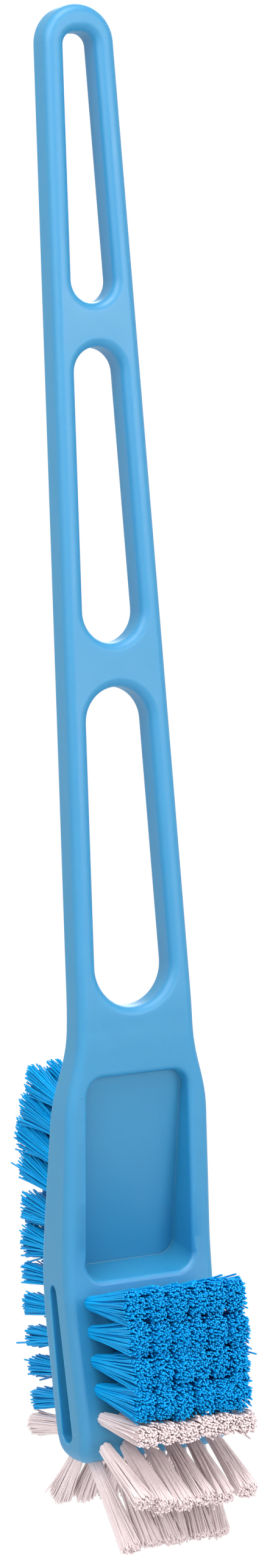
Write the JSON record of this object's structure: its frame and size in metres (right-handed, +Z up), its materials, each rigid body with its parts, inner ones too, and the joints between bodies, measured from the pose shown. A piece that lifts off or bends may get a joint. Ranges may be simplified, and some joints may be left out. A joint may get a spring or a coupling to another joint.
{
  "type": "toilet brush",
  "caption": "Slim slotted-handle toilet brush: paddle head with a front pocket, blue tufts front and back, white tufts round the end.",
  "frame": {"origin": "middle of the flat crown of the hanging slot's arch, at the top of the handle", "axes": "+Z up along the handle, away from the head; the pocket and front tufts face -Y; +X across the handle"},
  "size_m": [0.0452, 0.0686, 0.4173],
  "materials": {
    "handle_plastic": "satin moulded light blue plastic",
    "blue_bristle": "blue nylon filament",
    "white_bristle": "translucent white nylon filament",
    "anchor_wire": "flat wire"
  },
  "bodies": {
    "root": {"handle_moulding": "handle_plastic", "front_blue_tufts": "blue_bristle", "upper_back_blue_tufts": "blue_bristle", "lower_back_blue_tufts": "blue_bristle", "end_white_tufts": "white_bristle", "front_blue_anchor_01": "anchor_wire", "front_blue_anchor_02": "anchor_wire", "front_blue_anchor_03": "anchor_wire", "front_blue_anchor_04": "anchor_wire", "front_blue_anchor_05": "anchor_wire", "front_blue_anchor_06": "anchor_wire", "front_blue_anchor_07": "anchor_wire", "front_blue_anchor_08": "anchor_wire", "front_blue_anchor_09": "anchor_wire", "front_blue_anchor_10": "anchor_wire", "front_blue_anchor_11": "anchor_wire", "front_blue_anchor_12": "anchor_wire", "front_blue_anchor_13": "anchor_wire", "front_blue_anchor_14": "anchor_wire", "front_blue_anchor_15": "anchor_wire", "front_blue_anchor_16": "anchor_wire", "front_blue_anchor_17": "anchor_wire", "front_blue_anchor_18": "anchor_wire", "front_blue_anchor_19": "anchor_wire", "front_blue_anchor_20": "anchor_wire", "front_blue_anchor_21": "anchor_wire", "front_blue_anchor_22": "anchor_wire", "front_blue_anchor_23": "anchor_wire", "front_blue_anchor_24": "anchor_wire", "front_white_anchor_01": "anchor_wire", "front_white_anchor_02": "anchor_wire", "front_white_anchor_03": "anchor_wire", "front_white_anchor_04": "anchor_wire", "front_white_anchor_05": "anchor_wire", "front_white_anchor_06": "anchor_wire", "end_white_anchor_01": "anchor_wire", "end_white_anchor_02": "anchor_wire", "end_white_anchor_03": "anchor_wire", "end_white_anchor_04": "anchor_wire", "end_white_anchor_05": "anchor_wire", "end_white_anchor_06": "anchor_wire", "end_white_anchor_07": "anchor_wire", "end_white_anchor_08": "anchor_wire", "end_white_anchor_09": "anchor_wire", "end_white_anchor_10": "anchor_wire", "end_white_anchor_11": "anchor_wire", "end_white_anchor_12": "anchor_wire", "end_white_anchor_13": "anchor_wire", "end_white_anchor_14": "anchor_wire", "end_white_anchor_15": "anchor_wire", "end_white_anchor_16": "anchor_wire", "end_white_anchor_17": "anchor_wire", "end_white_anchor_18": "anchor_wire"}
  },
  "joints": []
}
